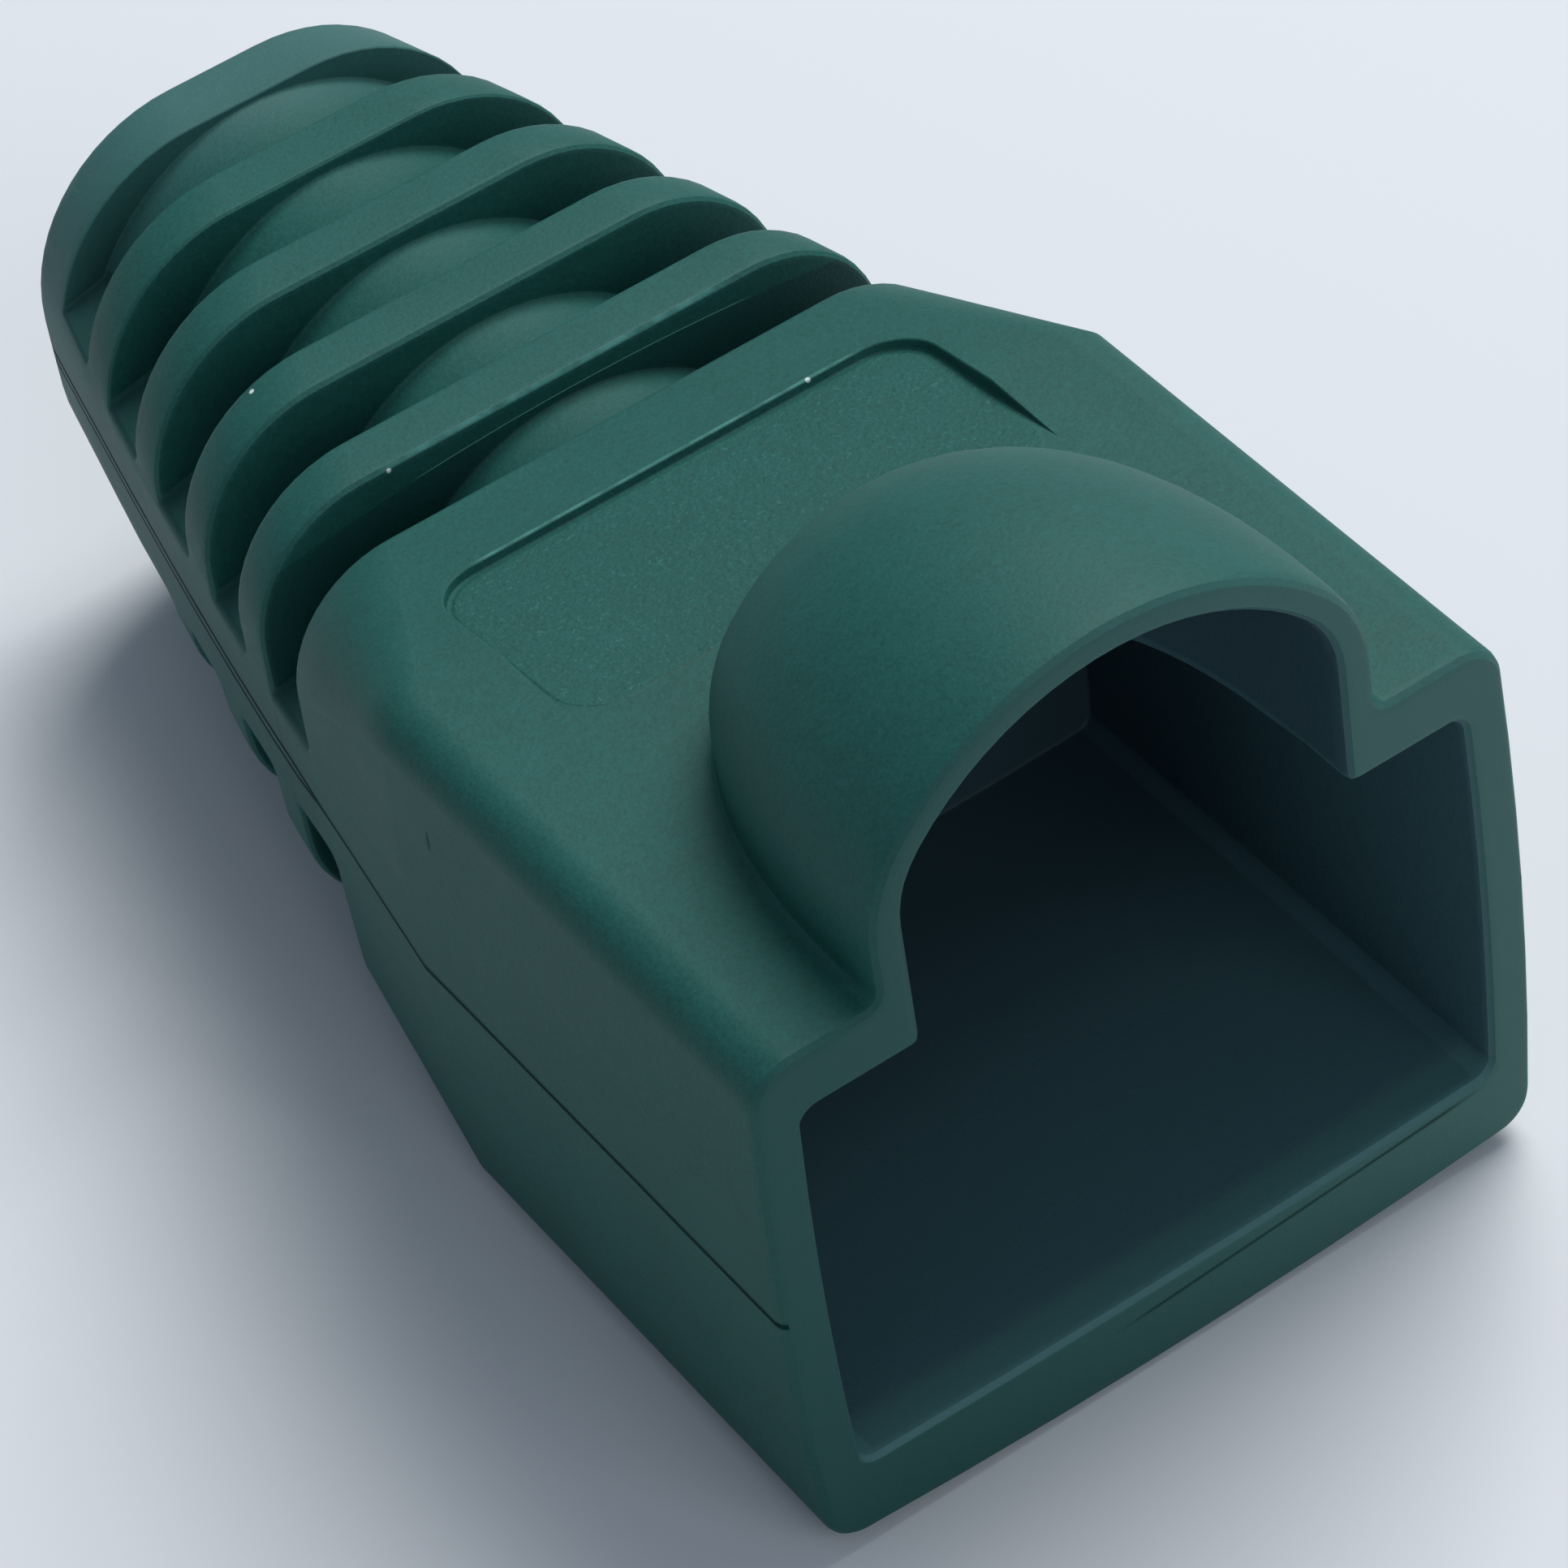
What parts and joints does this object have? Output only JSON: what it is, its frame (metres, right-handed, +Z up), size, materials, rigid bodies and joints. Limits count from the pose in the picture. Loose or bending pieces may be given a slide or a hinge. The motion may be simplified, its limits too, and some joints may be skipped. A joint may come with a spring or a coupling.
{
  "type": "strain relief boot",
  "caption": "Soft moulded boot for a modular network plug: square mouth, domed hood over the latch, and a ribbed tail that grips and guides the cable.",
  "frame": {"origin": "middle of the length and width of the boot, at the level of the lowest line of its floor", "axes": "+Z up, towards the hood over the latch; +Y along the cable, from the plug mouth to the cable exit; +X to the right when the mouth is seen from the front"},
  "size_m": [0.014, 0.027, 0.0153],
  "materials": {
    "boot_plastic": "soft satin, finely grained"
  },
  "bodies": {
    "root": {"boot": "boot_plastic"}
  },
  "joints": []
}
